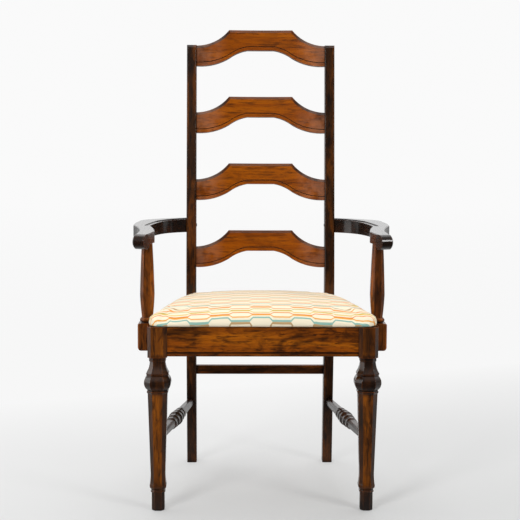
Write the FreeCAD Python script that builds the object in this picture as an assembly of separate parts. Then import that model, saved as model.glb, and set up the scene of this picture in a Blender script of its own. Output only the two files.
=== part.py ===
import FreeCAD, Part
import math
import os

from FreeCAD import Vector

# Sizes are in millimetres. While the chair is drawn, X runs across it, Y runs back from the faces
# of the front legs and Z runs up from the floor. Left is the low X side, as seen from the front.

# Seat frame
seat_depth = 392.0           # front of the legs to the front of the rear posts
rail_top = 424.0             # floor to the top of the seat rails
rail_height = 68.0
rail_thickness = 22.0
front_rail_setback = 9.0     # from the faces of the legs
rear_rail_setback = 6.0      # from the faces of the posts
side_rail_inset = 4.0        # from the outer faces of the posts
side_rail_from_leg = 13.5    # leg centre to the outer face of a side rail
rail_bead = 8.0              # height of the bead along the front rail
tenon_length = 15.0
tenon_thickness = 10.0
tenon_shoulder = 8.0
fit_gap = 0.1                # round every tenon
end_gap = 1.0                # past the end of every tenon

# Front legs
leg_spacing = 475.0          # centre to centre
leg_block = 44.0             # square block beside the rails
block_chamfer = 8.0
block_drop = 2.0             # how far the block reaches below the rails
leg_facet = 0.52             # width of a front facet as a share of the width across flats
collar_radius = 18.6         # radii are half widths across flats
neck_radius = 17.2
lip_radius = 25.2
band_radius = 24.0
ball_radius = 30.1
groove_radius = 22.4
shaft_top_radius = 22.1
shaft_foot_radius = 16.5
ankle_radius = 18.8
scotia_radius = 15.0
foot_ring_radius = 16.5
foot_radius = 14.4
foot_height = 42.0

# Rear posts
post_top = 1078.0
post_spread = 377.0          # outer face to outer face
post_width = 24.5
post_depth_foot = 36.0
post_depth_seat = 42.0
post_depth_top = 31.0
post_edge = 2.0              # chamfer of the long edges
back_rake = 7.5              # degrees
foot_splay = 5.9             # degrees
rake_start = 526.0
splay_start = 300.0
seat_flat = 12.0             # straight part of the post above and below the rails
post_top_chamfer = 6.0

# Slats
slat_count = 4
slat_pitch = 171.5
slat_height = 52.5
slat_thickness = 13.0
slat_setback = 5.0
slat_bow = 12.0              # how far the middle lies behind the ends
slat_rise = 42.0             # height of the arch
slat_flat_top = 81.0         # half length of the straight part of the upper edge
slat_flat_under = 34.0       # half length of the straight part of the lower edge
slat_chamfer_drop = 7.0      # on the front face, along the upper edge
slat_chamfer_depth = 4.0
slat_bead = 8.5
bead_groove = 2.2
bead_groove_depth = 1.6
slat_tenon_shoulder = 9.0

# Stretchers
rear_stretcher_height = 22.5
rear_stretcher_thickness = 16.0
rear_stretcher_level = 237.0
side_stretcher_level = 165.0
stretcher_end_radius = 8.6
stretcher_radius = 12.4
stretcher_bead_radius = 17.4
stretcher_bead_length = 132.0
stretcher_rings = 5
stretcher_tenon_radius = 7.0
stretcher_tenon_length = 13.0

# Arm posts
arm_post_stand = 25.2        # side rail to the centre of an arm post
arm_post_setback = 100.0     # leg faces to the centre of an arm post
arm_block = 43.0
arm_block_top = 420.0
arm_block_foot = 357.0
arm_block_chamfer = 3.0
baluster_top_radius = 12.0
baluster_belly_radius = 16.3
baluster_foot_radius = 12.4
baluster_ring_radius = 16.8
baluster_groove_radius = 13.6
baluster_belly_level = 486.0
arm_tenon_radius = 8.0
arm_tenon_length = 17.0

# Arms
arm_under = 603.0            # floor to the underside of the arms
arm_thick_rear = 34.5
arm_thick_front = 24.0
arm_spread = 620.0           # over the elbows
arm_end_width = 27.0         # where an arm meets its post
arm_edge = 1.6               # chamfer of the upper edges
arm_hand_reach = 38.0        # centre of the arm post to the rolled hand
arm_ear = 15.5               # inner edge inside the arm post, at the ear and at the knee
arm_notch = 5.5              # inner edge outside the arm post, at the notch between them
arm_neck = 20.5              # outer edge outside the arm post, behind the hand
arm_step_width = 13.0        # lowered band along the inner edge
arm_step_depth = 2.0
roll_radius = 17.3
roll_length = 29.0
roll_turn = 21.0             # degrees, how far the hand turns outward
roll_chamfer = 3.0

# Seat
board_thickness = 12.0
board_inset = 8.0            # inside the outer faces of the frame
cover_overhang = 8.0         # of the cover past the legs
cover_side_growth = 3.5      # of the cover past the rear posts
cover_front = 5.0            # of the cover past the faces of the legs
cover_tongue = 26.0          # of the seat between the posts, behind their faces
cover_height = 42.0          # at the top of the crown
cover_corner = 28.0
cover_sag = 2.5              # how far the sides are drawn in between the corners
cover_roll = 11.0            # bevel of the upper edge
cover_tuck = 5.0             # bevel of the lower edge
crown_radius = 2640.0
crown_setback = 120.0        # leg faces to the top of the crown
cover_thickness = 6.0        # fabric and wadding over the foam
cover_margin = 4.0           # padding between the board and the side of the cover
soft_gap = 0.3

# Fasteners
screw_radius = 2.25
screw_head_radius = 4.6
screw_head_height = 2.6
screw_hole_gap = 0.2
corner_block_height = 30.0
corner_block_drop = 2.0      # below the tops of the rails
front_block_leg = 58.0       # length of the block's sides along the rails
rear_block_leg = 50.0
block_tab = 8.0              # thickness of its ends
button_radius = 6.2
button_recess = 7.0
button_crown = 2.2
arm_screw_rise = 18.0        # above the underside of the arm
arm_screw_length = 46.0
arm_post_screw_length = 44.0
arm_post_screw_low = 18.0    # above the foot of the block
arm_post_screw_high = 15.0   # below the top of the block
seat_screw_bite = 8.0

# Places worked out from the sizes
leg_x = leg_spacing / 2
leg_y = leg_block / 2
rail_foot = rail_top - rail_height
rail_tenon_foot = rail_foot + tenon_shoulder
rail_tenon_top = rail_top - tenon_shoulder
post_outer = post_spread / 2
post_inner = post_outer - post_width
post_x = post_outer - post_width / 2
arm_y = arm_post_setback
post_tenon_length = rear_rail_setback + (rail_thickness - tenon_thickness) / 2 - 2 * end_gap
rake = math.radians(back_rake)
rake_lead = (rake_start - rail_top - seat_flat) * math.tan(rake / 2)
roll_angle = math.radians(roll_turn)
arm_screw_level = arm_under + arm_screw_rise


def rail_outer(y):
    """X of the outer face of the right side rail."""
    at_leg = leg_x + side_rail_from_leg
    at_post = post_outer - side_rail_inset
    return at_leg + (at_post - at_leg) * (y - leg_block) / (seat_depth - leg_block)


arm_x = rail_outer(arm_y) + arm_post_stand


# Drawing helpers

def plan(u, v):
    return Vector(u, v, 0)


def front(u, v):
    return Vector(u, 0, v)


def side(u, v):
    return Vector(0, u, v)


def trace(plane, start, steps):
    """Edges from a start point; a step is a point for a line, or a pair (via, point) for an arc."""
    here = plane(*start)
    edges = []
    for step in steps:
        if isinstance(step[0], tuple):
            there = plane(*step[1])
            edges.append(Part.Arc(here, plane(*step[0]), there).toShape())
        else:
            there = plane(*step)
            edges.append(Part.LineSegment(here, there).toShape())
        here = there
    return edges


def prism(plane, start, steps, low, high):
    """A closed outline pushed along the normal of its plane, from low to high."""
    last = steps[-1][1] if isinstance(steps[-1][0], tuple) else steps[-1]
    closing = [] if math.dist(last, start) < 1e-6 else [start]
    face = Part.Face(Part.Wire(trace(plane, start, list(steps) + closing)))
    normal = {plan: Vector(0, 0, 1), front: Vector(0, 1, 0), side: Vector(1, 0, 0)}[plane]
    face.translate(normal * low)
    return face.extrude(normal * (high - low))


def box(x0, x1, y0, y1, z0, z1):
    return Part.makeBox(x1 - x0, y1 - y0, z1 - z0, Vector(x0, y0, z0))


def rod(radius, start, direction, length):
    return Part.makeCylinder(radius, length, start, direction)


def mirrored(shape):
    return shape.mirror(Vector(0, 0, 0), Vector(1, 0, 0))


def faceted(start, steps, share):
    """An octagonal column about the Z axis, from its half outline in the front plane."""
    reach = 80.0

    def slab(stretch, turn):
        def stretched(u, v):
            return Vector(u * stretch, -reach, v)
        half = trace(stretched, start, steps)
        other = [edge.mirror(Vector(0, 0, 0), Vector(1, 0, 0)) for edge in half]
        face = Part.Face(Part.Wire(Part.__sortEdges__(half + other)))
        solid = face.extrude(Vector(0, 2 * reach, 0))
        solid.rotate(Vector(0, 0, 0), Vector(0, 0, 1), turn)
        return solid

    corner = (1 + share) / math.sqrt(2)
    column = slab(1, 0)
    for stretch, turn in ((1, 90), (corner, 45), (corner, 135)):
        column = column.common(slab(stretch, turn))
    return column


def round_edges(shape, radius, chosen):
    return shape.makeFillet(radius, [edge for edge in shape.Edges if chosen(edge)])


# Front legs

def leg_column():
    """The leg below its block: foot, ankle, shaft, ball, flared neck and collar."""
    top = rail_foot - block_drop
    ball_top = top - 42.5
    ball_foot = ball_top - 30.5
    ring_foot = ball_foot - 6.5
    steps = [
        (foot_radius - 3, 0),
        ((foot_radius - 0.9, 0.9), (foot_radius, 3)),
        (foot_radius, foot_height),
        (foot_ring_radius, foot_height + 2),
        (foot_ring_radius, foot_height + 4),
        (scotia_radius, foot_height + 5.5),
        (scotia_radius, foot_height + 8),
        (ankle_radius - 0.8, foot_height + 11),
        ((ankle_radius, foot_height + 15), (ankle_radius - 0.6, foot_height + 20)),
        ((shaft_foot_radius + 0.6, foot_height + 30), (shaft_foot_radius, foot_height + 44)),
        (shaft_top_radius, ring_foot - 3),
        (band_radius, ring_foot),
        (band_radius, ring_foot + 2.5),
        (groove_radius, ring_foot + 3),
        (groove_radius, ring_foot + 5.5),
        (band_radius, ball_foot),
        ((ball_radius, (ball_foot + ball_top) / 2 + 0.5), (band_radius + 0.6, ball_top)),
        (band_radius, ball_top),
        (band_radius, ball_top + 3.2),
        (lip_radius, ball_top + 4),
        (lip_radius, ball_top + 6.5),
        ((neck_radius + 2.6, ball_top + 18), (neck_radius, top - 10)),
        (collar_radius, top - 8.5),
        (collar_radius, top),
        (0, top),
    ]
    return faceted((0, 0), steps, leg_facet)


def leg_head():
    """The square block with its corners cut off, as high as the rails."""
    half = leg_block / 2
    cut = half - block_chamfer
    start = (-half, -cut)
    steps = [(-cut, -half), (cut, -half), (half, -cut), (half, cut), (cut, half), (-cut, half), (-half, cut)]
    return prism(plan, start, steps, rail_foot - block_drop, rail_top)


def front_leg():
    leg = leg_column().fuse(leg_head()).removeSplitter()
    leg.translate(Vector(leg_x, leg_y, 0))
    for tool in (front_rail_tenon(1, fit_gap), side_rail_tenon(0, fit_gap), stretcher_tenon(0, fit_gap),
                 stretcher_shaft()):
        leg = leg.cut(tool)
    return leg


# Rear posts

def post_front(level):
    """Distance back of the raked front face of a post at a level above the bend."""
    return seat_depth + rake_lead + (level - rake_start) * math.tan(rake)


def bend(y, z, rise, turn):
    """An arc that leaves a vertical line at (y, z) and turns by an angle over a rise."""
    radius = abs(rise) / math.sin(turn)
    sign = 1 if rise > 0 else -1
    middle = (y + radius * (1 - math.cos(turn / 2)), z + sign * radius * math.sin(turn / 2))
    end = (y + radius * (1 - math.cos(turn)), z + rise)
    return middle, end


def rear_post_blank():
    splay = math.radians(foot_splay)
    high = rail_top + seat_flat
    low = rail_foot - seat_flat
    rear = seat_depth + post_depth_seat
    top_y = post_front(post_top)
    foot_y = bend(seat_depth, low, splay_start - low, splay)[1][0] + splay_start * math.tan(splay)
    lean = math.atan((top_y + post_depth_top - rear - rake_lead) / (post_top - rake_start))
    slope = math.atan((foot_y + post_depth_foot - rear) / (splay_start + (low - splay_start) / 2))
    upper = bend(seat_depth, high, rake_start - high, rake)
    lower = bend(seat_depth, low, splay_start - low, splay)
    upper_rear = bend(rear, high, rake_start - high, lean)
    lower_rear = bend(rear, low, splay_start - low, slope)
    start = (foot_y, 0)
    steps = [
        lower[1],
        (lower[0], (seat_depth, low)),
        (seat_depth, high),
        upper,
        (post_front(post_top - post_top_chamfer), post_top - post_top_chamfer),
        (top_y + post_top_chamfer * 0.6, post_top),
        (top_y + post_depth_top, post_top),
        upper_rear[1],
        (upper_rear[0], (rear, high)),
        (rear, low),
        lower_rear,
        (foot_y + post_depth_foot, 0),
    ]
    blank = prism(side, start, steps, post_inner, post_outer)
    long_edges = [e for e in blank.Edges if abs(e.Vertexes[0].Z - e.Vertexes[-1].Z) > post_width]
    return blank.makeChamfer(post_edge, long_edges)


def rear_post():
    post = rear_post_blank()
    for index in range(slat_count):
        post = post.cut(slat_tenon(index, fit_gap))
    for tool in (rear_rail_tenon(fit_gap), rear_stretcher_tenon(fit_gap), side_rail_tenon(1, fit_gap),
                 stretcher_tenon(1, fit_gap), stretcher_shaft(), arm_screw_hole()):
        post = post.cut(tool)
    return post


# Slats. Each is drawn on the raked front plane of the posts, with Y into the chair's back.

def slat_place(shape, index):
    """Moves a slat from its own plane to its place; slat 0 is the top one."""
    along = (post_top - rake_start) / math.cos(rake) - index * slat_pitch
    shape.rotate(Vector(0, 0, 0), Vector(1, 0, 0), -back_rake)
    shape.translate(Vector(0, seat_depth + rake_lead + along * math.sin(rake),
                           rake_start + along * math.cos(rake)))
    return shape


def slat_lower_edge(lift):
    """Points and arcs of the lower edge from right to left, lifted by a height."""
    foot = -slat_height + lift
    crown = foot + slat_rise
    middle_x = (slat_flat_under + post_inner) / 2 - 19
    middle_z = foot + slat_rise * 0.525
    half = [
        ((slat_flat_under + 76, foot + slat_rise * 0.185), (post_inner, foot)),
        ((slat_flat_under + 26, crown - slat_rise * 0.19), (middle_x, middle_z)),
    ]
    right = [(half[0][0], (middle_x, middle_z)), (half[1][0], (slat_flat_under, crown))]
    left = [((-slat_flat_under, crown)),
            ((-half[1][0][0], half[1][0][1]), (-middle_x, middle_z)),
            ((-half[0][0][0], half[0][0][1]), (-post_inner, foot))]
    return (post_inner, foot), right + left


def slat_layer(depth0, depth1):
    """The bowed sheet between two depths behind the front face of the slat."""
    y0 = slat_setback + depth0
    y1 = slat_setback + depth1
    start = (-post_inner, y0)
    steps = [((0, y0 + slat_bow), (post_inner, y0)), (post_inner, y1), ((0, y1 + slat_bow), (-post_inner, y1))]
    reach = 2 * slat_height
    return prism(plan, start, steps, -reach, reach)


def slat_body():
    start, lower = slat_lower_edge(0)
    sweep = (slat_flat_top + 31, slat_rise * 0.36)
    steps = lower + [
        (-post_inner, 0),
        ((-sweep[0], sweep[1]), (-slat_flat_top, slat_rise)),
        (slat_flat_top, slat_rise),
        (sweep, (post_inner, 0)),
    ]
    depth = 3 * slat_thickness + slat_bow
    body = prism(front, start, steps, 0, depth).common(slat_layer(0, slat_thickness))
    edge = [e for e in body.Edges if min(v.Z for v in e.Vertexes) > -0.1 and e.Length > slat_flat_top / 2
            and e.CenterOfMass.y < slat_setback + slat_bow + slat_thickness / 2]
    return body.makeChamfer(slat_chamfer_drop, slat_chamfer_depth, edge)


def slat_groove():
    """The thin quirk that parts the bead from the face of a slat."""
    start, lower = slat_lower_edge(slat_bead)
    end, upper = slat_lower_edge(slat_bead + bead_groove)
    corners = [start] + [step if not isinstance(step[0], tuple) else step[1] for step in upper]
    back = []
    here = [end] + [step if not isinstance(step[0], tuple) else step[1] for step in upper]
    for position in range(len(upper) - 1, -1, -1):
        step = upper[position]
        target = here[position]
        back.append((step[0], target) if isinstance(step[0], tuple) else target)
    steps = lower + [here[-1]] + back
    band = prism(front, start, steps, 0, slat_setback + slat_bow + slat_thickness)
    return band.common(slat_layer(-1, bead_groove_depth))


def slat_tenon(index, gap):
    """The right tenon of a slat, or its mortise when a gap is given."""
    y0 = slat_setback + (slat_thickness - tenon_thickness) / 2
    length = tenon_length + (end_gap if gap else 0)
    tenon = box(post_inner - 1, post_inner + length, y0 - gap, y0 + tenon_thickness + gap,
                -slat_height + slat_tenon_shoulder - gap, -slat_tenon_shoulder + gap)
    return slat_place(tenon, index)


def slat(index):
    body = slat_place(slat_body().cut(slat_groove()), index)
    tenon = slat_tenon(index, 0)
    return body.fuse(tenon).fuse(mirrored(tenon))


# Seat rails

def front_rail_tenon(sign, gap):
    y0 = front_rail_setback + (rail_thickness - tenon_thickness) / 2
    shoulder = leg_x - leg_block / 2
    length = tenon_length + (end_gap if gap else 0)
    tenon = box(shoulder - 1, shoulder + length, y0 - gap, y0 + tenon_thickness + gap,
                rail_tenon_foot - gap, rail_tenon_top + gap)
    return tenon if sign > 0 else mirrored(tenon)


def front_rail():
    half = leg_x - leg_block / 2
    back = front_rail_setback + rail_thickness
    rail = box(-half, half, front_rail_setback, back, rail_foot, rail_top)
    rail = round_edges(rail, 3, lambda e: abs(e.CenterOfMass.z - rail_foot) < 0.1
                       and abs(e.CenterOfMass.y - front_rail_setback) < 0.1)
    groove = rod(1.6, Vector(-half, front_rail_setback, rail_foot + rail_bead), Vector(1, 0, 0), 2 * half)
    return rail.cut(groove).fuse(front_rail_tenon(1, 0)).fuse(front_rail_tenon(-1, 0))


def rear_rail_tenon(gap):
    y0 = seat_depth + rear_rail_setback + (rail_thickness - tenon_thickness) / 2
    length = tenon_length + (end_gap if gap else 0)
    return box(post_inner - 1, post_inner + length, y0 - gap, y0 + tenon_thickness + gap,
               rail_tenon_foot - gap, rail_tenon_top + gap)


def rear_rail():
    y0 = seat_depth + rear_rail_setback
    rail = box(-post_inner, post_inner, y0, y0 + rail_thickness, rail_foot, rail_top)
    tenon = rear_rail_tenon(0)
    return rail.fuse(tenon).fuse(mirrored(tenon))


def rail_direction():
    return Vector(rail_outer(1) - rail_outer(0), 1, 0).normalize()


def rail_strip(inset0, inset1, y0, y1, z0, z1):
    """A bar along the right side rail, between two insets from its outer face."""
    skew = 1 / rail_direction().y
    corners = [(rail_outer(y) - inset * skew, y)
               for inset, y in ((inset0, y0), (inset0, y1), (inset1, y1), (inset1, y0))]
    return prism(plan, corners[0], corners[1:], z0, z1)


def side_rail_tenon(end, gap):
    """The tenon at the leg (end 0) or at the post (end 1)."""
    inset = (rail_thickness - tenon_thickness) / 2
    deep = end_gap if gap else 0
    y0, y1 = leg_block - tenon_length - deep, leg_block + 1
    if end == 1:
        y0, y1 = seat_depth - 1, seat_depth + post_tenon_length + deep
    return rail_strip(inset - gap, inset + tenon_thickness + gap, y0, y1,
                      rail_tenon_foot - gap, rail_tenon_top + gap)


def side_rail():
    rail = rail_strip(0, rail_thickness, leg_block, seat_depth, rail_foot, rail_top)
    return rail.fuse(side_rail_tenon(0, 0)).fuse(side_rail_tenon(1, 0))


# Stretchers

def splay_y(level):
    """Distance back of the front face of a post at a level below the bend."""
    splay = math.radians(foot_splay)
    low = rail_foot - seat_flat
    return bend(seat_depth, low, splay_start - low, splay)[1][0] + (splay_start - level) * math.tan(splay)


def rear_stretcher_y():
    return splay_y(rear_stretcher_level + rear_stretcher_height / 2) + 10


def rear_stretcher_tenon(gap):
    y0 = rear_stretcher_y() + 3
    length = tenon_length + (end_gap if gap else 0)
    return box(post_inner - 1, post_inner + length, y0 - gap, y0 + rear_stretcher_thickness - 6 + gap,
               rear_stretcher_level + 4 - gap, rear_stretcher_level + rear_stretcher_height - 4 + gap)


def rear_stretcher():
    y0 = rear_stretcher_y()
    bar = box(-post_inner, post_inner, y0, y0 + rear_stretcher_thickness,
              rear_stretcher_level, rear_stretcher_level + rear_stretcher_height)
    bar = round_edges(bar, 2, lambda e: e.Length > post_inner)
    tenon = rear_stretcher_tenon(0)
    return bar.fuse(tenon).fuse(mirrored(tenon))


def stretcher_line():
    """Start at the leg, unit direction and length between the leg and the post."""
    shaft_foot = foot_height + 44
    ball_foot = rail_foot - block_drop - 42.5 - 30.5 - 9.5
    share = (side_stretcher_level - shaft_foot) / (ball_foot - shaft_foot)
    shaft = shaft_foot_radius + (shaft_top_radius - shaft_foot_radius) * share
    axis_start = Vector(leg_x, leg_y, side_stretcher_level)
    axis_end = Vector(post_x, splay_y(side_stretcher_level) + post_depth_foot / 2, side_stretcher_level)
    direction = (axis_end - axis_start).normalize()
    start = axis_start + direction * ((shaft - 1.0) / direction.y)
    end = axis_start + direction * ((splay_y(side_stretcher_level) + 0.8 - leg_y) / direction.y)
    return start, direction, (end - start).Length


def stretcher_tenon(end, gap):
    start, direction, length = stretcher_line()
    reach = stretcher_tenon_length + (end_gap if gap else 0)
    if end == 0:
        return rod(stretcher_tenon_radius + gap, start - direction * reach, direction, reach + 2)
    return rod(stretcher_tenon_radius + gap, start + direction * (length - 2), direction, reach + 2)


def along_stretcher(shape):
    """Lays a shape drawn up the Z axis along the right side stretcher."""
    start, direction, length = stretcher_line()
    shape.rotate(Vector(0, 0, 0), Vector(1, 0, 0), -90)
    shape.rotate(Vector(0, 0, 0), Vector(0, 0, 1), -math.degrees(math.atan2(direction.x, direction.y)))
    shape.translate(start)
    return shape


def stretcher_shaft():
    """The octagonal shaft, let a little into the faces of the leg and the post."""
    length = stretcher_line()[2]
    steps = [(stretcher_end_radius, 0), (stretcher_radius, length / 2), (stretcher_end_radius, length), (0, length)]
    return along_stretcher(faceted((0, 0), steps, leg_facet))


def stretcher_beads():
    """The turned cluster: rings that swell toward the middle, with hollows between them."""
    pitch = stretcher_bead_length / stretcher_rings
    first = (stretcher_line()[2] - stretcher_bead_length) / 2
    steps = []
    for ring in range(stretcher_rings):
        foot = first + ring * pitch
        crest = stretcher_bead_radius * (1 - 0.09 * abs(ring - (stretcher_rings - 1) / 2))
        valley = crest - 3.4
        steps.append((valley, foot))
        steps.append((crest, foot + pitch * 0.22))
        steps.append((crest, foot + pitch * 0.58))
        steps.append((valley, foot + pitch * 0.8))
    steps[-1] = (0, first + stretcher_bead_length)
    face = Part.Face(Part.Wire(trace(front, (0, first), steps + [(0, first)])))
    return along_stretcher(face.revolve(Vector(0, 0, 0), Vector(0, 0, 1), 360))


def side_stretcher():
    bar = stretcher_shaft().fuse(stretcher_beads())
    return bar.fuse(stretcher_tenon(0, 0)).fuse(stretcher_tenon(1, 0))


# Arm posts

def baluster():
    foot = arm_block_top
    steps = [
        (baluster_groove_radius, foot - 1),
        (baluster_groove_radius, foot + 2.5),
        ((baluster_ring_radius, foot + 7.5), (baluster_foot_radius + 0.4, foot + 12)),
        (baluster_foot_radius, foot + 14),
        ((baluster_belly_radius - 1.2, (foot + 14 + baluster_belly_level) / 2 + 4),
         (baluster_belly_radius, baluster_belly_level)),
        ((baluster_belly_radius - 1.0, baluster_belly_level + 36), (baluster_top_radius, arm_under)),
        (0, arm_under),
    ]
    column = faceted((0, foot - 1), steps, leg_facet)
    column.translate(Vector(arm_x, arm_y, 0))
    return column


def arm_post_block():
    """The square block below the ring, cut along the outer face of the side rail."""
    half = arm_block / 2
    cut = half - arm_block_chamfer
    inner = half + 20
    start = (-inner, -half)
    steps = [(cut, -half), (half, -cut), (half, cut), (cut, half), (-inner, half)]
    block = prism(plan, start, steps, arm_block_foot, arm_block_top)
    block.translate(Vector(arm_x, arm_y, 0))
    outline = (arm_x - inner, arm_block_foot)
    rounding = [(arm_x + half - 8, arm_block_foot),
                ((arm_x + half - 2.4, arm_block_foot + 2.4), (arm_x + half, arm_block_foot + 8)),
                (arm_x + half, arm_block_top - 4),
                ((arm_x + half - 1.2, arm_block_top - 1.2), (arm_x + half - 4, arm_block_top)),
                (arm_x - inner, arm_block_top)]
    block = block.common(prism(front, outline, rounding, arm_y - arm_block, arm_y + arm_block))
    return block.cut(rail_strip(0, 2 * arm_block, arm_y - arm_block, arm_y + arm_block, 0, arm_under))


def arm_post_tenon(gap):
    reach = arm_tenon_length + (end_gap if gap else 0)
    return rod(arm_tenon_radius + gap, Vector(arm_x, arm_y, arm_under - 1), Vector(0, 0, 1), reach + 1)


def arm_post():
    post = arm_post_block().fuse(baluster()).fuse(arm_post_tenon(0))
    for screw in arm_post_screws():
        post = post.cut(screw_hole(*screw, arm_post_screw_length))
    return post


# Arms

def arm_top(y):
    """Height of the sloping upper face of an arm."""
    rear = post_front(arm_under)
    hand = arm_y - arm_hand_reach
    share = (y - hand) / (rear - hand)
    return arm_under + arm_thick_front + (arm_thick_rear - arm_thick_front) * share


def roll_start():
    """Centre of the inner end of the rolled hand."""
    x = arm_x - 2
    y = arm_y - arm_hand_reach
    return Vector(x, y, arm_top(y) + 0.4 - roll_radius)


def roll_axis():
    return Vector(math.cos(roll_angle), math.sin(roll_angle), 0)


def arm_joint_y():
    """Front edge of the joint between an arm and its post."""
    return post_front(arm_under + arm_thick_rear) + 3


def arm_length_share(share):
    """Y at a share of the way from the centre of the arm post to the joint at the rear post."""
    return arm_y + (arm_joint_y() - arm_y) * share


def arm_inner_edge(inset):
    """Inner edge of an arm from its post to the notch behind the hand, moved in by an inset."""
    joint = (post_outer, arm_joint_y() + inset)
    knee = (arm_x - arm_ear + inset * 0.9, arm_length_share(0.792) + inset * 0.5)
    notch = (arm_x + arm_notch + inset, arm_length_share(0.494))
    bow = (joint[0] + (knee[0] - joint[0]) * 0.585, joint[1] + (knee[1] - joint[1]) * 0.381)
    return joint, [(bow, knee), ((knee[0] + 13, arm_length_share(0.65)), notch)]


def arm_outline():
    """Plan of an arm: inner edge, ear over the arm post, hand, neck, elbow and back to the post."""
    start, steps = arm_inner_edge(0)
    first = roll_start()
    last = first + roll_axis() * roll_length
    across = Vector(-roll_axis().y, roll_axis().x, 0)
    inner_cheek = first + roll_axis() * 1.5 + across * 14
    inner_front = first + roll_axis() * 1.5
    outer_front = last - roll_axis() * 2
    elbow = arm_spread / 2
    haunch = elbow - 31
    steps = steps + [
        ((arm_x - 9.5, arm_length_share(0.27)), (arm_x - arm_ear, arm_length_share(0.076))),
        (inner_cheek.x, inner_cheek.y),
        (inner_front.x, inner_front.y),
        (outer_front.x, outer_front.y),
        (arm_x + arm_neck, arm_length_share(0.12)),
        ((arm_x + arm_neck + 6.5, arm_length_share(0.307)), (elbow, arm_length_share(0.494))),
        ((elbow + 0.5, arm_length_share(0.65)), (elbow - 6, arm_length_share(0.786))),
        ((elbow - 12, arm_length_share(0.875)), (haunch, arm_length_share(0.941))),
        ((post_outer + (haunch - post_outer) * 0.525, arm_length_share(1.027)),
         (post_outer, arm_joint_y() + arm_end_width)),
    ]
    return start, steps


def under_slope(drop, low):
    """A broad slab whose upper face is that of the arms, lowered by a drop."""
    y0 = arm_y - arm_spread
    y1 = seat_depth + arm_spread
    return prism(side, (y0, low), [(y1, low), (y1, arm_top(y1) - drop), (y0, arm_top(y0) - drop)], 0, arm_spread)


def arm_blank():
    start, steps = arm_outline()
    body = prism(plan, start, steps, arm_under, arm_under + 2 * arm_thick_rear)
    body = body.common(under_slope(0, 0))
    upper = [e for e in body.Edges if e.CenterOfMass.x > post_outer + 1
             and e.CenterOfMass.z > arm_under + arm_thick_front / 2
             and abs(e.Vertexes[0].Z - e.Vertexes[-1].Z) < arm_thick_front / 2]
    return body.makeChamfer(arm_edge, upper)


def arm_step():
    """The shallow band sunk along the inner edge of an arm, from its post to the bend."""
    start, steps = arm_inner_edge(arm_step_width)
    end = steps[1][1]
    away = (end[0] - arm_spread, end[1] - arm_step_width)
    outline = steps + [((end[0] - 4, end[1] - 10), (end[0] - arm_step_width, end[1] - arm_step_width)),
                       away, (away[0], start[1]), (start[0], start[1])]
    cutter = prism(plan, start, outline, arm_under, arm_under + 2 * arm_thick_rear)
    return cutter.cut(under_slope(arm_step_depth, 0))


def arm_roll():
    roll = rod(roll_radius, roll_start(), roll_axis(), roll_length)
    end = roll_start() + roll_axis() * roll_length
    return roll.makeChamfer(roll_chamfer, [edge for edge in roll.Edges
                                           if (edge.CenterOfMass - end).Length < 1 and edge.Length > roll_length])


def arm():
    body = arm_blank().cut(arm_step())
    body = body.fuse(arm_roll())
    for tool in (arm_post_tenon(fit_gap), arm_screw_hole()):
        body = body.cut(tool)
    return body


# Seat

def seat_outline(front_half, rear_half, front_y, rear_y, corner, sag):
    """A rounded trapezoid whose sides are drawn in by a sag between the corners."""
    lean = (front_half - rear_half) / (rear_y - front_y)
    cut = corner * 0.293
    middle = ((front_half + rear_half) / 2 - sag, (front_y + rear_y) / 2)
    start = (-front_half + corner, front_y)

    def edge(via, end):
        return (via, end) if sag else end

    steps = [
        edge((0, front_y + sag), (front_half - corner, front_y)),
        ((front_half - cut, front_y + cut), (front_half - lean * corner, front_y + corner)),
        edge(middle, (rear_half, rear_y)),
        (-rear_half, rear_y),
        edge((-middle[0], middle[1]), (-front_half + lean * corner, front_y + corner)),
        ((-front_half + cut, front_y + cut), (-front_half + corner, front_y)),
    ]
    return start, steps


def seat_notches(gap):
    """Room for the posts at the rear corners of the seat."""
    notch = box(post_inner - gap, 2 * post_outer, seat_depth - gap, 2 * seat_depth, rail_foot, post_top)
    return notch, mirrored(notch)


def board_sizes(inset):
    """Half widths and ends of the seat, moved in by an inset from the frame's outside."""
    frame_front = leg_x + leg_block / 2
    return (frame_front - inset, post_outer - inset * 0.5, inset, seat_depth + cover_tongue - inset * 0.5)


def seat_board():
    front_half, rear_half, front_y, rear_y = board_sizes(board_inset)
    start, steps = seat_outline(front_half, rear_half, front_y, rear_y, cover_corner - board_inset, 0)
    board = prism(plan, start, steps, rail_top, rail_top + board_thickness)
    for notch in seat_notches(fit_gap + cover_margin):
        board = board.cut(notch)
    for place in seat_screw_places():
        for x in (place[0], -place[0]):
            board = board.cut(rod(screw_radius + fit_gap, Vector(x, place[1], rail_top - 1), Vector(0, 0, 1),
                                  seat_screw_bite + end_gap + 1))
    return board


def crown(depth):
    """The ball whose surface lies a depth below the crowned top of the seat."""
    middle = Vector(0, crown_setback, rail_top + cover_height - crown_radius)
    return Part.makeSphere(crown_radius - depth, middle, Vector(1, 0, 0))


def foam_blank(gap):
    """The foam pad, or the hollow for it when a gap is given."""
    inset = board_inset + 3 - gap
    front_half, rear_half, front_y, rear_y = board_sizes(inset)
    start, steps = seat_outline(front_half, rear_half, front_y, rear_y, cover_corner - board_inset, 0)
    base = rail_top + board_thickness
    pad = prism(plan, start, steps, base, base + 2 * cover_height)
    pad = pad.common(crown(cover_thickness - gap))
    for notch in seat_notches(fit_gap + cover_margin + 3 - gap):
        pad = pad.cut(notch)
    return pad


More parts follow.
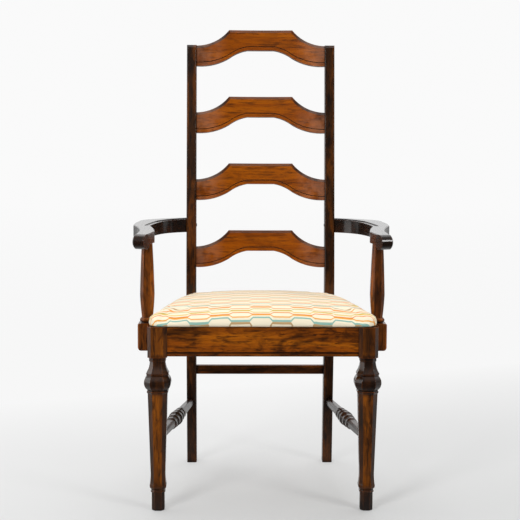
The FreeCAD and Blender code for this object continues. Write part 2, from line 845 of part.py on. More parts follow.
def cover_form():
    """The crowned outer form of the upholstered seat, with drawn-in sides and bevelled edges."""
    front_half = leg_x + leg_block / 2 + cover_overhang
    rear_half = post_outer + cover_side_growth
    rear_y = seat_depth + cover_tongue
    middle = ((front_half + rear_half) / 2 - cover_sag, (rear_y - cover_front) / 2)
    steps = [((0, cover_sag - cover_front), (front_half, -cover_front)),
             (middle, (rear_half, rear_y)),
             (-rear_half, rear_y),
             ((-middle[0], middle[1]), (-front_half, -cover_front))]
    block = prism(plan, (-front_half, -cover_front), steps, rail_top, rail_top + 2 * cover_height)
    block = round_edges(block, cover_corner, lambda e: abs(e.Vertexes[0].Z - e.Vertexes[-1].Z) > cover_height
                        and e.CenterOfMass.y < 0)
    form = block.common(crown(0))
    upper = [e for e in form.Edges if e.CenterOfMass.z > rail_top + cover_height / 2
             and abs(e.Vertexes[0].Z - e.Vertexes[-1].Z) < cover_height / 2]
    form = form.makeChamfer(cover_roll, upper)
    return form.makeChamfer(cover_tuck, [e for e in form.Edges if e.CenterOfMass.z < rail_top + 0.1])


def seat_cover():
    cover = cover_form()
    for notch in seat_notches(soft_gap):
        cover = cover.cut(notch)
    front_half, rear_half, front_y, rear_y = board_sizes(board_inset - soft_gap)
    start, steps = seat_outline(front_half, rear_half, front_y, rear_y, cover_corner - board_inset, 0)
    hollow = prism(plan, start, steps, rail_foot, rail_top + board_thickness + soft_gap)
    for notch in seat_notches(fit_gap + cover_margin - soft_gap):
        hollow = hollow.cut(notch)
    return cover.cut(hollow).cut(foam_blank(soft_gap))


# Corner blocks

def corner_block(outline):
    """A block of the given plan, hung a little below the tops of the rails."""
    top = rail_top - corner_block_drop
    return prism(plan, outline[0], outline[1:], top - corner_block_height, top)


def front_corner_block():
    """Fills the corner behind a front leg, between the front rail and the side rail."""
    rail_back = front_rail_setback + rail_thickness
    inner = leg_x - leg_block / 2
    skew = rail_thickness / rail_direction().y
    far = leg_block + front_block_leg - rail_thickness
    return corner_block([
        (inner - front_block_leg, rail_back), (inner, rail_back), (inner, leg_block),
        (rail_outer(leg_block) - skew, leg_block), (rail_outer(far) - skew, far),
        (rail_outer(far) - skew - block_tab, far), (inner - front_block_leg, rail_back + block_tab)])


def rear_corner_block():
    """Fills the corner before a rear post, between the rear rail and the side rail."""
    skew = rail_thickness / rail_direction().y
    rail_face = seat_depth + rear_rail_setback
    far = seat_depth - rear_block_leg
    return corner_block([
        (post_inner - rear_block_leg, rail_face), (post_inner - rear_block_leg, rail_face - block_tab),
        (rail_outer(far) - skew - block_tab, far), (rail_outer(far) - skew, far),
        (rail_outer(seat_depth) - skew, seat_depth), (post_inner, seat_depth), (post_inner, rail_face)])


# Fasteners

def screw(place, direction, length):
    """A screw; place is the middle of the seat under its head."""
    head = rod(screw_head_radius, place - direction * screw_head_height, direction, screw_head_height)
    return head.fuse(rod(screw_radius, place, direction, length))


def screw_hole(place, direction, length):
    return rod(screw_radius + screw_hole_gap, place - direction, direction, length + 2)


def arm_post_screws():
    """Places and directions of the two screws from the side rail into an arm post."""
    direction = rail_direction()
    outward = Vector(direction.y, -direction.x, 0)
    places = []
    for level in (arm_block_foot + arm_post_screw_low, arm_block_top - arm_post_screw_high):
        on_face = Vector(rail_outer(arm_y), arm_y, level)
        places.append((on_face - outward * rail_thickness, outward))
    return places


def arm_screw_place():
    """Seat of the screw head in the post, and the direction into the arm."""
    y = post_front(arm_screw_level) + 18
    return Vector(post_inner + button_recess, y, arm_screw_level), Vector(1, 0, 0)


def arm_screw_hole():
    place, direction = arm_screw_place()
    recess = rod(button_radius, Vector(post_inner - 1, place.y, place.z), direction, button_recess + 1)
    return recess.fuse(screw_hole(place, direction, arm_screw_length))


def arm_button():
    """The wooden button that closes the recess over the arm screw."""
    place, direction = arm_screw_place()
    length = button_recess - screw_head_height - 0.6
    plug = rod(button_radius - fit_gap, Vector(post_inner - button_crown, place.y, place.z), direction,
               length + button_crown)
    ball = (button_radius ** 2 + button_crown ** 2) / (2 * button_crown)
    return plug.common(Part.makeSphere(ball, Vector(post_inner - button_crown + ball, place.y, place.z)))


def seat_screw_places():
    """X and Y of the screws through the corner blocks up into the seat board."""
    inner = leg_x - leg_block / 2
    front_place = (inner - 10, leg_block + 10)
    rear_place = (post_inner - 16, seat_depth - 16)
    return front_place, rear_place


def drilled_block(block, place):
    """Cuts the hole of the seat screw through a corner block."""
    under = rail_top - corner_block_drop - corner_block_height
    return block.cut(rod(screw_radius + screw_hole_gap, Vector(place[0], place[1], under - 1), Vector(0, 0, 1),
                         corner_block_height + 2))


def seat_screws():
    screws = []
    under = rail_top - corner_block_drop - corner_block_height
    for x, y in seat_screw_places():
        made = screw(Vector(x, y, under), Vector(0, 0, 1), corner_block_height + corner_block_drop + seat_screw_bite)
        screws += [made, mirrored(made)]
    return screws


def both(shape):
    return [shape, mirrored(shape)]


def build():
    """Every piece of the chair by name, in drawing coordinates."""
    pieces = {}
    for index in range(slat_count):
        pieces["slat_%d" % (index + 1)] = slat(index)
    pieces["front_rail"] = front_rail()
    pieces["rear_rail"] = rear_rail()
    pieces["rear_stretcher"] = rear_stretcher()
    right_rail = side_rail()
    for screw_place in arm_post_screws():
        right_rail = right_rail.cut(screw_hole(*screw_place, arm_post_screw_length))
    front_place, rear_place = seat_screw_places()
    paired = {
        "rear_post": rear_post(),
        "front_leg": front_leg(),
        "side_rail": right_rail,
        "side_stretcher": side_stretcher(),
        "arm_post": arm_post(),
        "arm": arm(),
        "corner_block_front": drilled_block(front_corner_block(), front_place),
        "corner_block_rear": drilled_block(rear_corner_block(), rear_place),
    }
    for name, shape in paired.items():
        pieces[name + "_right"] = shape
        pieces[name + "_left"] = mirrored(shape)
    pieces["seat_board"] = seat_board()
    pieces["seat_foam"] = foam_blank(0)
    pieces["seat_cover"] = seat_cover()
    pieces["seat_screws"] = Part.makeCompound(seat_screws())
    arm_screws = both(screw(*arm_screw_place(), arm_screw_length))
    pieces["arm_screws"] = Part.makeCompound(arm_screws)
    pieces["arm_buttons"] = Part.makeCompound(both(arm_button()))
    post_screws = []
    for place, direction in arm_post_screws():
        post_screws += both(screw(place, direction, arm_post_screw_length))
    pieces["arm_post_screws"] = Part.makeCompound(post_screws)
    return pieces


def export(pieces):
    """Moves the chair so that the middle of its footprint is the origin, and writes each piece."""
    os.makedirs("parts", exist_ok=True)
    ends = [shape.optimalBoundingBox() for shape in pieces.values()]
    middle = (min(end.YMin for end in ends) + max(end.YMax for end in ends)) / 2
    for name, shape in pieces.items():
        shape.translate(Vector(0, -middle, 0))
        shape.exportStep("parts/%s.step" % name)


export(build())
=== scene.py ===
"""The looks of a ladderback armchair: glazed wood, an upholstered seat, a pale studio."""

import math

import bmesh
import bpy
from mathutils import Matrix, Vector
from mathutils.bvhtree import BVHTree
from mathutils.geometry import intersect_point_line

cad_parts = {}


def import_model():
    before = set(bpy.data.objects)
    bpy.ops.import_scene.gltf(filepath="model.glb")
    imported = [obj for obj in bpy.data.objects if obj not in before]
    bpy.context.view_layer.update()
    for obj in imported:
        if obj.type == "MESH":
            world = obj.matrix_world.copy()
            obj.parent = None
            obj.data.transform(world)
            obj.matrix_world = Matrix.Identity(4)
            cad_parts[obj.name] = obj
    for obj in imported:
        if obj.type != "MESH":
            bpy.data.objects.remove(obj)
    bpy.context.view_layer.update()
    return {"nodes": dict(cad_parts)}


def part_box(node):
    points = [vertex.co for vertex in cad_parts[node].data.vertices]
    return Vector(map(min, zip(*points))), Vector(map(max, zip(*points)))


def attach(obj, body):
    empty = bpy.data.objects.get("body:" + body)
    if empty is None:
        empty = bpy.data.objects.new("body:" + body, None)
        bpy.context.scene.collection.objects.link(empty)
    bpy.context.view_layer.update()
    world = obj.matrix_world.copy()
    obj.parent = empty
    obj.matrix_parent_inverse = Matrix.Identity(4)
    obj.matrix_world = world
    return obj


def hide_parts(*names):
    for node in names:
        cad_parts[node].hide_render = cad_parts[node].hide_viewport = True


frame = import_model()
nodes = frame["nodes"]

# Camera, in metres and degrees
IMAGE_WIDTH = 520
FOCAL_PIXELS = 1254.2
SENSOR_WIDTH = 36.0
CAMERA_PLACE = (-0.0523, -3.0217, 0.8694)
CAMERA_PITCH = 6.043
CAMERA_ROLL = 0.216
CAMERA_TURN = 0.900

# Studio
FLOOR_RADIUS = 14.0
BACKGROUND = 0.955
FLOOR_TONE = 0.58
FLOOR_FAR = 0.93
FADE_START = -0.73
FADE_END = 1.19
ROUND_FADE_START = 0.9
ROUND_FADE_END = 2.3
ROOM_FRONT = 0.03
ROOM_BACK = 0.92
ROOM_ABOVE = 0.30
# Name, place, what it points at, width and height in metres, and watts
LAMPS = (
    ("light_left", (-1.65, -2.74, 1.9), (0, 0, 0.5), (0.8, 1.0), 54),
    ("light_right", (2.3, -2.2, 1.9), (0, 0, 0.5), (0.8, 1.0), 37),
    ("light_side", (-2.6, -0.1, 0.9), (0, 0, 0.4), (1.5, 1.6), 11),
    ("light_top", (0, 0.1, 3.2), (0, 0, 0), (2.4, 2.4), 34),
)

# Seat cushion, in metres
VOXEL = 0.005
SWELL_FRAMES = 20
SWELL_CAP = 0.006
PIN_HEIGHT = 0.003
ROUNDING_PASSES = 14
CORE_INSET = 0.036

# Printed rows of long hexagons. The cloth is drawn in over the front edge, so the rows lie closer there.
ROW_PITCH = 0.0255
ROW_PLACES = ((-0.0180, -0.45), (-0.0095, 0), (-0.0008, 0.47), (0.0058, 1), (0.0178, 2), (0.0316, 3),
              (0.0475, 4), (0.0700, 5))
PRINT_PERIOD = 0.0924
PRINT_CENTRE = -0.0045
OPEN_LENGTH = 0.036
SLANT_LENGTH = 0.0075
OPEN_HALF_HEIGHT = 0.0118
LINE_WIDTH = 0.0050
CLOTH = (246, 235, 208)
# Upper and lower line of each row, from the front
INKS = (((140, 186, 174), (192, 156, 106)), ((234, 134, 22), (240, 164, 38)),
        ((190, 170, 60), (234, 192, 72)), ((240, 156, 44), (238, 152, 70)))
COUNT_SHIFT = 40.0         # keeps the count of rows above zero in front of the first one
THREADS_PER_METRE = 1300.0


def srgb(red, green, blue):
    """A colour written in 0 to 255 as the linear colour that Blender takes."""
    def linear(value):
        value /= 255
        return value / 12.92 if value <= 0.04045 else ((value + 0.055) / 1.055) ** 2.4
    return (linear(red), linear(green), linear(blue), 1.0)


class Graph:
    """Writes the node tree of one material."""

    def __init__(self, name):
        self.material = bpy.data.materials.new(name)
        self.material.use_nodes = True
        self.tree = self.material.node_tree
        self.tree.nodes.clear()

    def put(self, socket, value):
        if isinstance(value, bpy.types.NodeSocket):
            self.tree.links.new(value, socket)
        else:
            socket.default_value = value

    def add(self, kind, inputs=None, **settings):
        node = self.tree.nodes.new("ShaderNode" + kind)
        for key, value in settings.items():
            setattr(node, key, value)
        for key, value in (inputs or {}).items():
            self.put(node.inputs[key], value)
        return node

    def math(self, operation, *values):
        node = self.add("Math", operation=operation)
        for socket, value in zip(node.inputs, values):
            self.put(socket, value)
        return node.outputs[0]

    def mix(self, factor, first, second, blend="MIX"):
        node = self.add("Mix", {0: factor, 6: first, 7: second}, data_type="RGBA", blend_type=blend)
        return node.outputs[2]

    def smooth(self, value, low, high):
        node = self.add("MapRange", {"Value": value, "From Min": low, "From Max": high},
                        interpolation_type="SMOOTHSTEP")
        return node.outputs[0]

    def place(self):
        return self.add("TexCoord").outputs["Object"]

    def scaled(self, vector, scale, location=(0, 0, 0)):
        return self.add("Mapping", {"Vector": vector, "Scale": scale, "Location": location}).outputs[0]

    def noise(self, vector, scale, detail=3.0, roughness=0.55, distortion=0.0):
        node = self.add("TexNoise", {"Vector": vector, "Scale": scale, "Detail": detail,
                                     "Roughness": roughness, "Distortion": distortion})
        return node.outputs["Fac"]

    def finish(self, surface):
        self.add("OutputMaterial", {"Surface": surface})
        return self.material


# Wood

# Dark tone for glazing and for painted shade: hollows, slat undersides and upward faces, the rail's groove
# and lower edge.
GLAZE_AND_SHADE_TONE = (20, 11, 7)
# Painted sheen: a pale pink tone standing in for gloss at the slat ends.
PAINTED_SHEEN_TONE = (176, 126, 100)
# Distances from the middle of a slat, in metres, between which a tone sets in
SWEEP_FROM = (0.070, 0.092)
PAINTED_SHEEN_FROM = (0.080, 0.135)
END_FROM = (0.132, 0.150)
# Heights on a front leg
FOOT_BELOW = (0.085, 0.035)
TURNED_ABOVE = (0.262, 0.276)
TURNED_BELOW = (0.368, 0.352)
BLOCK_ABOVE = (0.360, 0.370)
# Heights over the lower edge of the front rail
EDGE_BELOW = (0.0032, 0.0008)
BEAD_BELOW = (0.0082, 0.0070)
GROOVE_ABOVE = (0.0066, 0.0080)
GROOVE_BELOW = (0.0118, 0.0102)
# How much finer the figure, the blotches and the flecks are across the grain than along it
GRAIN_STRETCH = {"X": (1, 13, 13), "Y": (13, 1, 13), "Z": (13, 13, 1)}
BLOTCH_STRETCH = {"X": (1, 2.6, 2.6), "Y": (2.6, 1, 2.6), "Z": (2.6, 2.6, 1)}
FLECK_STRETCH = {"X": (1, 4.5, 4.5), "Y": (4.5, 1, 4.5), "Z": (4.5, 4.5, 1)}


def shade_in_hollows(graph, reach):
    """1 deep in hollows and corners, 0 in the open: where painted shade darkens the wood."""
    shade = graph.add("AmbientOcclusion", {"Distance": reach}, samples=6, only_local=False)
    return graph.smooth(shade.outputs["AO"], 0.95, 0.35)


def ridge(graph, reach):
    """1 along outer edges, 0 on flat faces."""
    shade = graph.add("AmbientOcclusion", {"Distance": reach}, samples=6, inside=True, only_local=True)
    return graph.smooth(shade.outputs["AO"], 0.92, 0.55)


def surface_turn(graph):
    """The three parts of the surface's direction."""
    return graph.add("SeparateXYZ", {0: graph.add("NewGeometry").outputs["Normal"]}).outputs


def from_middle(graph):
    """How far a point lies to the left or right of the chair's middle."""
    return graph.math("ABSOLUTE", graph.add("SeparateXYZ", {0: graph.place()}).outputs[0])


def height_above(graph, base=0.0):
    level = graph.add("SeparateXYZ", {0: graph.place()}).outputs[2]
    return graph.math("SUBTRACT", level, base)


def slat_glaze_and_shade(graph):
    """Dark on the chamfer and the underside, most of all on the sweeps and at the ends. The dark on the
    underside is painted shade, on the upward faces painted shade with dark glazing, at the ends dark glazing.
    """
    upward = surface_turn(graph)[2]
    outward = from_middle(graph)
    sweep = graph.math("MULTIPLY_ADD", graph.smooth(outward, *SWEEP_FROM), 0.4, 0.55)
    # Painted shade, with dark glazing, on the upward faces and the chamfer.
    upward_shade_and_glazing = graph.math("MULTIPLY", graph.smooth(upward, 0.15, 0.5), sweep)
    # Painted shade on the slat's underside.
    painted_underside_shade = graph.math("MULTIPLY", graph.smooth(upward, -0.25, -0.7), 0.85)
    end = graph.math("MULTIPLY", graph.smooth(outward, *END_FROM), 0.35)
    return graph.math("MAXIMUM", graph.math("MAXIMUM", upward_shade_and_glazing, painted_underside_shade), end)


def slat_painted_sheen(graph):
    """Painted sheen: a pale, faintly pink gloss painted into the colour towards the ends of a slat."""
    patchy = graph.smooth(graph.noise(graph.place(), 30.0, 3.0), 0.3, 0.6)
    pale = graph.math("MULTIPLY", graph.smooth(from_middle(graph), *PAINTED_SHEEN_FROM), patchy)
    return graph.math("MULTIPLY", pale, 0.27)


def rail_glaze_and_shade(graph):
    """Dark in the groove above the bead, along the bead and at the lower edge. In the groove and at the lower
    edge the dark is painted shade; the bead is toned darker.
    """
    level = height_above(graph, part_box("front_rail")[0].z)
    bead = graph.math("MULTIPLY", graph.smooth(level, *BEAD_BELOW), 0.45)
    # Painted shade in the groove.
    groove = graph.math("MULTIPLY", graph.smooth(level, *GROOVE_ABOVE), graph.smooth(level, *GROOVE_BELOW))
    groove = graph.math("MULTIPLY", groove, 0.9)
    # Painted shade along the lower edge.
    edge = graph.math("MULTIPLY", graph.smooth(level, *EDGE_BELOW), 0.8)
    return graph.math("MAXIMUM", graph.math("MAXIMUM", bead, edge), groove)


def leg_glaze(graph):
    """Dark on the slanting facets, on the ball and the vase, and at the foot."""
    turn = surface_turn(graph)
    square_on = graph.math("MAXIMUM", graph.math("ABSOLUTE", turn[0]), graph.math("ABSOLUTE", turn[1]))
    facet = graph.math("MULTIPLY", graph.smooth(square_on, 0.96, 0.80), 0.72)
    level = height_above(graph)
    turned = graph.math("MULTIPLY", graph.smooth(level, *TURNED_ABOVE), graph.smooth(level, *TURNED_BELOW))
    worked = graph.math("MAXIMUM", turned, graph.smooth(level, *FOOT_BELOW))
    worked = graph.math("MULTIPLY", worked, 0.95)
    block = graph.math("MULTIPLY", graph.smooth(level, *BLOCK_ABOVE), 0.28)
    return graph.math("MAXIMUM", graph.math("MAXIMUM", facet, worked), block)


def post_glaze(graph):
    """Dark on the broad front facet of the turned arm posts."""
    turn = surface_turn(graph)
    front = graph.smooth(graph.math("ABSOLUTE", turn[1]), 0.90, 0.97)
    return graph.math("MULTIPLY", front, 0.5)


def wood(name, grain, light, body, dark, rub, hollow_shade=0.6, blotch=0.5, wear=0.5, roughness=0.3, shift=0.0,
         coat=0.15, gloss=0.12, relief=0.12, glaze_and_shade_mask=None, painted_sheen=None):
    """Stained and glazed wood: fibres along the grain, blotches, painted shade darkening the hollows, rubbed
    edges.
    """
    graph = Graph(name)
    place = graph.place()
    along = graph.scaled(place, GRAIN_STRETCH[grain], (shift, shift, shift))
    figure = graph.noise(along, 2.6, 4.0, 0.55, 0.9)
    fibre = graph.noise(along, 16.0, 6.0, 0.7, 0.25)
    pore = graph.noise(along, 60.0, 3.0, 0.6)
    patch = graph.noise(graph.scaled(place, BLOTCH_STRETCH[grain], (shift * 3, 2, 5)), 9.0, 5.0, 0.62, 0.8)
    fleck = graph.noise(graph.scaled(place, FLECK_STRETCH[grain], (shift, 1, 3)), 26.0, 4.0, 0.6, 0.5)

    colour = graph.mix(graph.smooth(figure, 0.40, 0.62), body, light)
    streak = graph.math("MULTIPLY", graph.smooth(fibre, 0.48, 0.66), 0.8)
    colour = graph.mix(streak, colour, dark)
    cloud = graph.math("MULTIPLY", graph.smooth(patch, 0.48, 0.66), blotch)
    colour = graph.mix(cloud, colour, dark)
    mottle = graph.math("MULTIPLY", graph.smooth(fleck, 0.50, 0.68), blotch)
    colour = graph.mix(mottle, colour, dark)
    speck = graph.math("MULTIPLY", graph.smooth(pore, 0.58, 0.72), 0.6)
    colour = graph.mix(speck, colour, dark)
    # Dark glazing mixed in; for the slats and the front rail this also paints shade.
    if glaze_and_shade_mask:
        uneven = graph.math("MULTIPLY_ADD", graph.smooth(patch, 0.3, 0.6), 0.2, 0.8)
        colour = graph.mix(graph.math("MULTIPLY", glaze_and_shade_mask(graph), uneven), colour, srgb(*GLAZE_AND_SHADE_TONE))
    # Painted sheen mixed into the colour.
    if painted_sheen:
        colour = graph.mix(painted_sheen(graph), colour, srgb(*PAINTED_SHEEN_TONE))

    rubbed = graph.math("MULTIPLY", ridge(graph, 0.0022), wear)
    rubbed = graph.math("MULTIPLY", rubbed, graph.smooth(fibre, 0.3, 0.6))
    colour = graph.mix(rubbed, colour, rub)
    # Painted shade: hollows and corners darkened towards the dark tone.
    painted_hollow_shade = graph.math("MULTIPLY", shade_in_hollows(graph, 0.012), hollow_shade)
    colour = graph.mix(painted_hollow_shade, colour, srgb(*GLAZE_AND_SHADE_TONE))

    height = graph.math("ADD", graph.math("MULTIPLY", fibre, 0.7), graph.math("MULTIPLY", pore, 0.3))
    soft_edge = graph.add("Bevel", {"Radius": 0.0009}, samples=4).outputs[0]
    bump = graph.add("Bump", {"Height": height, "Strength": relief, "Distance": 0.0004, "Normal": soft_edge})
    rough = graph.add("MapRange", {"Value": fibre, "To Min": roughness - 0.07, "To Max": roughness + 0.12})
    shader = graph.add("BsdfPrincipled", {"Base Color": colour, "Roughness": rough.outputs[0],
                                          "Specular IOR Level": gloss, "Normal": bump.outputs[0],
                                          "Coat Weight": coat, "Coat Roughness": 0.14,
                                          "Coat Normal": soft_edge})
    return graph.finish(shader.outputs[0])


def metal():
    """Zinc plated steel of the screws."""
    graph = Graph("screw_steel")
    place = graph.place()
    mottle = graph.noise(place, 220.0, 4.0)
    colour = graph.mix(mottle, srgb(150, 148, 140), srgb(196, 192, 180))
    rough = graph.add("MapRange", {"Value": mottle, "To Min": 0.28, "To Max": 0.5})
    bump = graph.add("Bump", {"Height": mottle, "Strength": 0.2, "Distance": 0.0002})
    shader = graph.add("BsdfPrincipled", {"Base Color": colour, "Metallic": 0.9,
                                          "Roughness": rough.outputs[0], "Normal": bump.outputs[0]})
    return graph.finish(shader.outputs[0])


def foam():
    """Open celled foam of the padding."""
    graph = Graph("seat_foam")
    cells = graph.add("TexVoronoi", {"Vector": graph.place(), "Scale": 900.0}).outputs["Distance"]
    colour = graph.mix(cells, srgb(206, 190, 140), srgb(236, 224, 182))
    bump = graph.add("Bump", {"Height": cells, "Strength": 0.5, "Distance": 0.0006})
    shader = graph.add("BsdfPrincipled", {"Base Color": colour, "Roughness": 0.95, "Normal": bump.outputs[0]})
    return graph.finish(shader.outputs[0])


def plywood():
    """Birch plywood of the seat board, its layers showing at the edge."""
    graph = Graph("board_plywood")
    place = graph.place()
    fibre = graph.noise(graph.scaled(place, GRAIN_STRETCH["X"]), 14.0, 5.0, 0.65)
    colour = graph.mix(graph.smooth(fibre, 0.35, 0.7), srgb(214, 182, 132), srgb(176, 138, 90))
    height = graph.add("SeparateXYZ", {0: place}).outputs[2]
    layer = graph.math("PINGPONG", graph.math("MULTIPLY", height, 400.0), 1.0)
    sideways = graph.add("SeparateXYZ", {0: graph.add("NewGeometry").outputs["Normal"]}).outputs[2]
    edge = graph.smooth(graph.math("ABSOLUTE", sideways), 0.7, 0.4)
    glue = graph.math("MULTIPLY", edge, graph.smooth(layer, 0.35, 0.65))
    colour = graph.mix(glue, colour, srgb(140, 100, 62))
    bump = graph.add("Bump", {"Height": fibre, "Strength": 0.3, "Distance": 0.0003})
    shader = graph.add("BsdfPrincipled", {"Base Color": colour, "Roughness": 0.7, "Normal": bump.outputs[0]})
    return graph.finish(shader.outputs[0])


# Seat cushion

def outer_skin():
    """The outside of the cover's solid, closed underneath, as a new mesh."""
    cover = nodes["seat_cover"].data
    form = bmesh.new()
    form.from_mesh(cover)
    bmesh.ops.remove_doubles(form, verts=form.verts, dist=1e-5)
    form.faces.ensure_lookup_table()
    around = bmesh.new()
    for name in ("seat_cover", "seat_board", "seat_foam"):
        around.from_mesh(nodes[name].data)
    tree = BVHTree.FromBMesh(around)
    around.free()
    inner = []
    for face in form.faces:
        start = face.calc_center_median() + face.normal * 1e-5
        if tree.ray_cast(start, face.normal)[0] is not None:
            inner.append(face)
    bmesh.ops.delete(form, geom=inner, context="FACES")
    rim = [edge for edge in form.edges if edge.is_boundary]
    bmesh.ops.holes_fill(form, edges=rim, sides=0)
    bmesh.ops.triangulate(form, faces=[f for f in form.faces if len(f.verts) > 4])
    mesh = bpy.data.meshes.new("seat_cushion")
    form.to_mesh(mesh)
    form.free()
    return mesh


def apply_modifiers(piece):
    """Fixes what the modifiers give into the mesh."""
    graph = bpy.context.evaluated_depsgraph_get()
    mesh = bpy.data.meshes.new_from_object(piece.evaluated_get(graph))
    piece.modifiers.clear()
    piece.data = mesh


def swell(cushion, base):
    """Lets pressure round the cushion out, held along its base."""
    rest = [v.co.copy() for v in cushion.data.vertices]
    pins = cushion.vertex_groups.new(name="pins")
    pins.add([v.index for v in cushion.data.vertices if v.co.z < base + PIN_HEIGHT], 1.0, "REPLACE")
    cloth = cushion.modifiers.new("swell", "CLOTH").settings
    cloth.quality = 6
    cloth.mass = 0.4
    cloth.use_pressure = True
    cloth.uniform_pressure_force = 4.0
    cloth.effector_weights.gravity = 0.0
    cloth.vertex_group_mass = "pins"
    cloth.tension_stiffness = 30
    cloth.compression_stiffness = 30
    cloth.bending_stiffness = 4
    scene = bpy.context.scene
    for number in range(1, SWELL_FRAMES + 1):
        scene.frame_set(number)
    apply_modifiers(cushion)
    for vertex, start in zip(cushion.data.vertices, rest):
        move = vertex.co - start
        if move.length > SWELL_CAP:
            vertex.co = start + move.normalized() * SWELL_CAP
    scene.frame_set(1)


def row_number(along):
    """The printed row, counted from the one by the front hem, at a distance from the front face."""
    if along >= ROW_PLACES[-1][0]:
        return ROW_PLACES[-1][1] + (along - ROW_PLACES[-1][0]) / ROW_PITCH
    first, second = ROW_PLACES[0], ROW_PLACES[1]
    for pair in zip(ROW_PLACES, ROW_PLACES[1:]):
        if pair[0][0] <= along:
            first, second = pair
    return first[1] + (along - first[0]) * (second[1] - first[1]) / (second[0] - first[0])


def nearest_on(corners, flat):
    """The point of an outline nearest to a point, and whether that point lies outside."""
    nearest = None
    outside = False
    for number, first in enumerate(corners):
        second = corners[(number + 1) % len(corners)]
        outward = (second - first).cross(Vector((0, 0, 1)))
        share = intersect_point_line(flat, first, second)[1]
        point = first.lerp(second, min(max(share, 0), 1))
        if (flat - first).dot(outward) > 0:
            outside = True
        if nearest is None or (point - flat).length < (nearest - flat).length:
            nearest = point
    return nearest, outside


def print_places(cushion, low, high, rear_half):
    """Lays the flat cloth's measures on the cushion: across, and the row counted from the front."""
    front_half = high.x - CORE_INSET
    rear_half = rear_half - CORE_INSET
    front = low.y + CORE_INSET
    rear = high.y - CORE_INSET
    corners = [Vector((-front_half, front, 0)), Vector((front_half, front, 0)),
               Vector((rear_half, rear, 0)), Vector((-rear_half, rear, 0))]
    mesh = cushion.data
    surface = BVHTree.FromPolygons([v.co for v in mesh.vertices], [p.vertices for p in mesh.polygons])
    layer = mesh.attributes.new("print_place", "FLOAT_VECTOR", "POINT")
    for vertex in mesh.vertices:
        place = Vector((vertex.co.x, vertex.co.y, 0))
        nearest, outside = nearest_on(corners, place)
        if outside:
            away = place - nearest
            crest = surface.ray_cast(Vector((nearest.x, nearest.y, 1)), Vector((0, 0, -1)))[0]
            length = math.hypot(away.length, max(crest.z - vertex.co.z, 0))
            place = nearest + away.normalized() * length
        layer.data[vertex.index].vector = (place.x, row_number(place.y - low.y), 0)


def opening(graph, own, across):
    """Half the distance between a row's two lines: wide at a hexagon, closed between two of them."""
    odd = graph.math("MODULO", graph.math("ADD", own, COUNT_SHIFT), 2.0)
    centre = graph.math("ADD", graph.math("MULTIPLY", odd, PRINT_PERIOD / 2), PRINT_CENTRE)
    turn = graph.math("DIVIDE", graph.math("SUBTRACT", across, centre), PRINT_PERIOD)
    turn = graph.math("SUBTRACT", turn, graph.math("ROUND", turn))
    turn = graph.math("MULTIPLY", graph.math("ABSOLUTE", turn), PRINT_PERIOD)
    return graph.add("MapRange", {"Value": turn, "From Min": OPEN_LENGTH / 2,
                                  "From Max": OPEN_LENGTH / 2 + SLANT_LENGTH,
                                  "To Min": OPEN_HALF_HEIGHT, "To Max": LINE_WIDTH / 2}).outputs[0]


def ink_of_row(graph, own, line):
    """The ink of a row's upper line (0) or lower line (1); four pairs of inks take turns."""
    four = graph.math("MODULO", graph.math("ADD", own, COUNT_SHIFT), float(len(INKS)))
    tint = srgb(*INKS[0][line])
    for place_in_cycle in range(1, len(INKS)):
        pick = graph.math("COMPARE", four, float(place_in_cycle), 0.5)
        tint = graph.mix(pick, tint, srgb(*INKS[place_in_cycle][line]))
    return tint


def print_colour(graph):
    """Cream ground with the lines of the nearest row and of the rows on either side of it."""
    laid = graph.add("Attribute", attribute_name="print_place").outputs["Vector"]
    parts = graph.add("SeparateXYZ", {0: laid})
    across = parts.outputs[0]
    unevenness = graph.math("SUBTRACT", graph.noise(graph.place(), 90.0, 2.0), 0.5)
    row = graph.math("ADD", parts.outputs[1], graph.math("MULTIPLY", unevenness, 0.03))
    number = graph.math("ROUND", row)
    colour = srgb(*CLOTH)
    for step in (-1, 0, 1):
        own = graph.math("ADD", number, float(step))
        height = graph.math("MULTIPLY", graph.math("SUBTRACT", row, own), ROW_PITCH)
        openness = opening(graph, own, across)
        for line, side in enumerate((1.0, -1.0)):
            off = graph.math("SUBTRACT", graph.math("MULTIPLY", height, side), openness)
            drawn = graph.smooth(graph.math("ABSOLUTE", off), LINE_WIDTH * 0.56, LINE_WIDTH * 0.42)
            colour = graph.mix(drawn, colour, ink_of_row(graph, own, line))
    return colour


def printed_cloth():
    """Cream cotton printed with rows of long hexagons, joined by double lines."""
    graph = Graph("seat_fabric_print")
    place = graph.place()
    spread = graph.add("SeparateXYZ", {0: place})
    thread = THREADS_PER_METRE * math.tau
    warp = graph.math("SINE", graph.math("MULTIPLY", spread.outputs[0], thread))
    lengthwise = graph.math("ADD", spread.outputs[1], spread.outputs[2])
    weft = graph.math("SINE", graph.math("MULTIPLY", lengthwise, thread))
    weave = graph.math("MULTIPLY", warp, weft)
    slub = graph.noise(graph.scaled(place, (30, 400, 400)), 4.0, 3.0)
    shade = graph.math("ADD", graph.math("MULTIPLY", weave, 0.03), graph.math("MULTIPLY", slub, 0.06))
    tone = graph.mix(shade, print_colour(graph), srgb(214, 196, 164))
    height = graph.math("ADD", weave, graph.math("MULTIPLY", slub, 1.5))
    bump = graph.add("Bump", {"Height": height, "Strength": 0.35, "Distance": 0.0003})
    shader = graph.add("BsdfPrincipled", {"Base Color": tone, "Roughness": 0.85, "Sheen Weight": 0.25,
                                          "Sheen Roughness": 0.5, "Normal": bump.outputs[0]})
    return graph.finish(shader.outputs[0])


